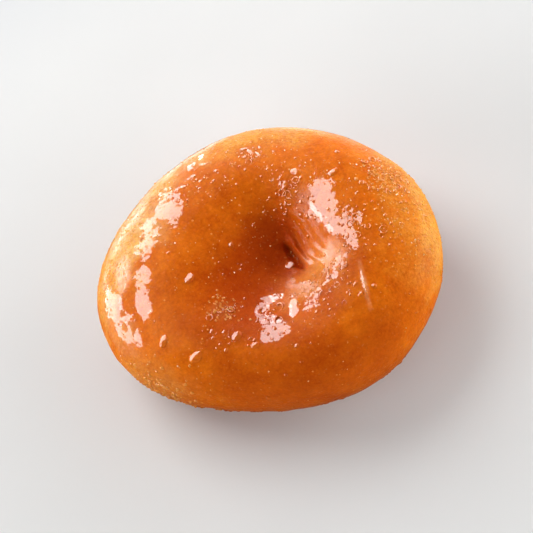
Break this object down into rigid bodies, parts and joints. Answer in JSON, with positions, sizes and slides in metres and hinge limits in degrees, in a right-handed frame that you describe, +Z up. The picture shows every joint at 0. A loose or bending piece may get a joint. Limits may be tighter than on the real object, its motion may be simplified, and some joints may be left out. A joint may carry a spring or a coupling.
{
  "type": "badusha",
  "caption": "Round fried dough sweet glazed with sugar syrup, with a thumb dimple pressed into its top.",
  "frame": {"origin": "on the resting surface, under the middle of the bounding box", "axes": "+Z up through the dimpled top, +X along the longer way across, -Y towards the side that the view looks from"},
  "size_m": [0.064, 0.0558, 0.0266],
  "materials": {
    "glazed_dough": "sugar-syrup glaze over fried dough, glossy amber"
  },
  "bodies": {
    "root": {"badusha": "glazed_dough"}
  },
  "joints": []
}
